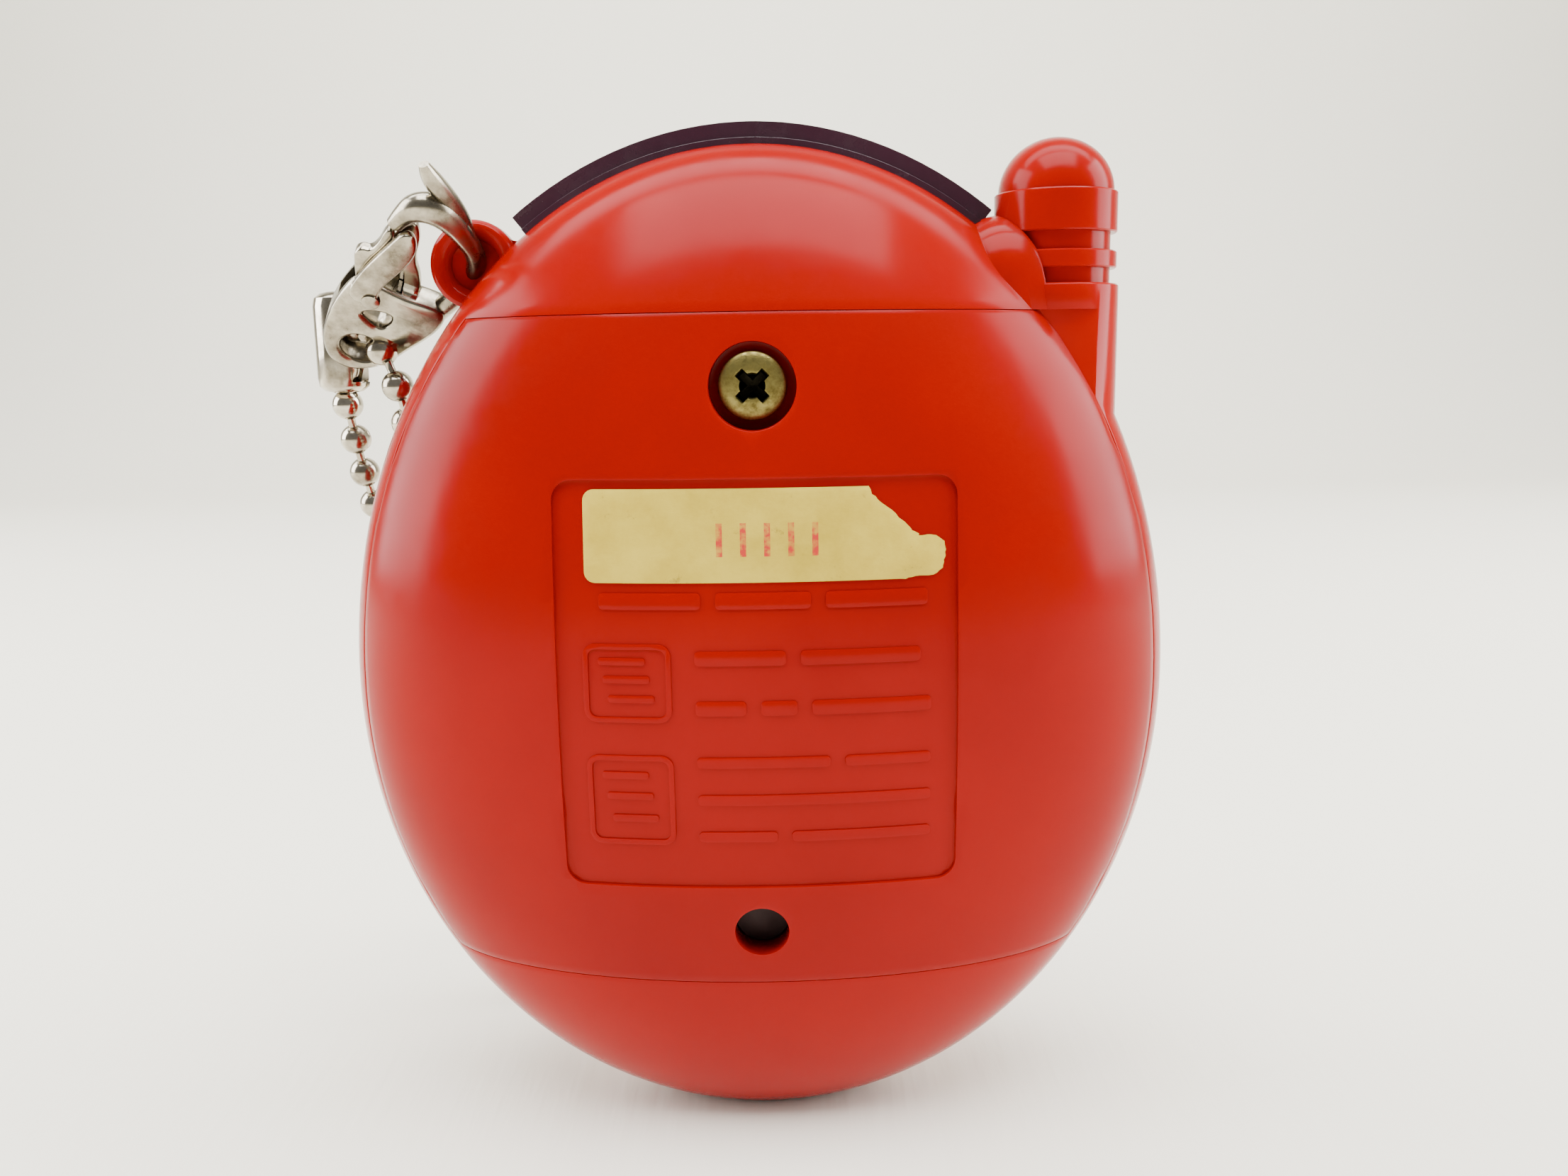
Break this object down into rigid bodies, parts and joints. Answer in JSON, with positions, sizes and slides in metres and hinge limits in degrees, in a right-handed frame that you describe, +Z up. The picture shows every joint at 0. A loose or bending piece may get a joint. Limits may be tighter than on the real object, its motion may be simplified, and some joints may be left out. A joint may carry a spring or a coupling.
{
  "type": "virtual pet keychain",
  "caption": "Egg-shaped electronic pet toy with a back battery door, top infrared window, stub antenna, front screen and buttons, and a clasp with a ball chain.",
  "frame": {"origin": "middle of the small flat under the egg, on the surface it stands on", "axes": "+Z up along the egg's height, the screen faces -Y, the battery door faces +Y, the key lug is at +X and the antenna at -X"},
  "size_m": [0.0539, 0.0393, 0.0613],
  "materials": {
    "shell_plastic": "gloss orange-red ABS, slightly milky at the rims",
    "door_plastic": "gloss orange-red ABS with a fine satin haze",
    "window_plastic": "polished dark plum infrared-pass plastic",
    "bezel_plastic": "gloss warm yellow ABS",
    "lens_clear": "clear polished acrylic",
    "button_plastic": "gloss warm yellow plastic",
    "silicone": "matt pale grey silicone",
    "reset_rubber": "matt dark rubber",
    "label_paper": "aged gold-coloured paper",
    "screw_brass": "antique brass plating, worn",
    "insert_brass": "turned brass",
    "ring_steel": "spring steel",
    "screw_steel": "zinc-plated steel",
    "holder_plastic": "matt white moulding",
    "display_glass": "liquid crystal glass with a green-grey cast",
    "polariser_film": "matt polariser film",
    "reflector_film": "satin silver reflector film",
    "zebra_rubber": "striped elastomer",
    "board_laminate": "green solder mask",
    "epoxy_black": "black epoxy",
    "can_metal": "drawn metal can",
    "capacitor_ceramic": "tan ceramic",
    "lamp_clear": "clear moulded epoxy",
    "lamp_dark": "dark moulded epoxy",
    "spring_steel": "nickel-plated spring steel",
    "cell_steel": "nickel-plated stainless steel",
    "clasp_nickel": "polished nickel plating with light wear",
    "chain_nickel": "polished nickel plating"
  },
  "bodies": {
    "case": {"front_shell": "shell_plastic", "back_shell": "shell_plastic", "ir_window": "window_plastic", "antenna_stub": "shell_plastic", "screen_bezel": "bezel_plastic", "screen_lens": "lens_clear", "threaded_insert": "insert_brass", "lcd_glass": "display_glass", "lcd_polariser": "polariser_film", "lcd_reflector": "reflector_film", "lcd_holder": "holder_plastic", "zebra_strips": "zebra_rubber", "circuit_board": "board_laminate", "board_screws": "screw_steel", "processor_blob": "epoxy_black", "memory_chip": "epoxy_black", "clock_crystal": "can_metal", "chip_capacitors": "capacitor_ceramic", "chip_resistors": "epoxy_black", "ir_emitter": "lamp_clear", "ir_receiver": "lamp_dark", "buzzer_disc": "insert_brass", "buzzer_springs": "spring_steel", "button_cell": "cell_steel", "negative_contact": "spring_steel", "positive_contact": "spring_steel", "case_screws": "screw_steel", "button_pad": "silicone", "reset_contact_dome": "spring_steel"},
    "door": {"battery_door": "door_plastic", "number_label": "label_paper"},
    "screw": {"door_screw": "screw_brass", "screw_retaining_ring": "ring_steel"},
    "left_button": {"button_left": "button_plastic"},
    "middle_button": {"button_middle": "button_plastic"},
    "right_button": {"button_right": "button_plastic"},
    "reset": {"reset_button": "reset_rubber"},
    "clasp": {"clasp_body": "clasp_nickel", "clasp_pin": "clasp_nickel", "clasp_spring": "spring_steel", "chain_connector": "chain_nickel", "chain_end_balls": "chain_nickel", "ball_chain": "chain_nickel"},
    "lever": {"clasp_lever": "clasp_nickel"}
  },
  "joints": [
    {"name": "door_lift", "type": "slide", "parent": "case", "child": "door", "axis": [0, 1, 0], "range_m": [0, 0.012]},
    {"name": "door_screw_turn", "type": "hinge", "parent": "door", "child": "screw", "pos_m": [0, 0.0075, 0.0462], "axis": [0, 1, 0], "continuous": true},
    {"name": "left_press", "type": "slide", "parent": "case", "child": "left_button", "axis": [0, 1, 0], "range_m": [0, 0.0008], "stiffness_N_per_m": 600, "springref_m": -0.0004},
    {"name": "middle_press", "type": "slide", "parent": "case", "child": "middle_button", "axis": [0, 1, 0], "range_m": [0, 0.0008], "stiffness_N_per_m": 600, "springref_m": -0.0004},
    {"name": "right_press", "type": "slide", "parent": "case", "child": "right_button", "axis": [0, 1, 0], "range_m": [0, 0.0008], "stiffness_N_per_m": 600, "springref_m": -0.0004},
    {"name": "reset_press", "type": "slide", "parent": "case", "child": "reset", "axis": [0, -1, 0], "range_m": [0, 0.0006], "stiffness_N_per_m": 600, "springref_m": -0.0004},
    {"name": "clasp_swing", "type": "hinge", "parent": "case", "child": "clasp", "pos_m": [0.0165, 0, 0.0534], "axis": [0, -1, 0], "range_deg": [0, 60]},
    {"name": "lever_open", "type": "hinge", "parent": "clasp", "child": "lever", "pos_m": [0.02313, -0.00125, 0.05221], "axis": [0.0001, 0.6908, -0.723], "range_deg": [-25, 0], "stiffness_Nm_per_rad": 0.004, "springref_deg": 8.59}
  ]
}
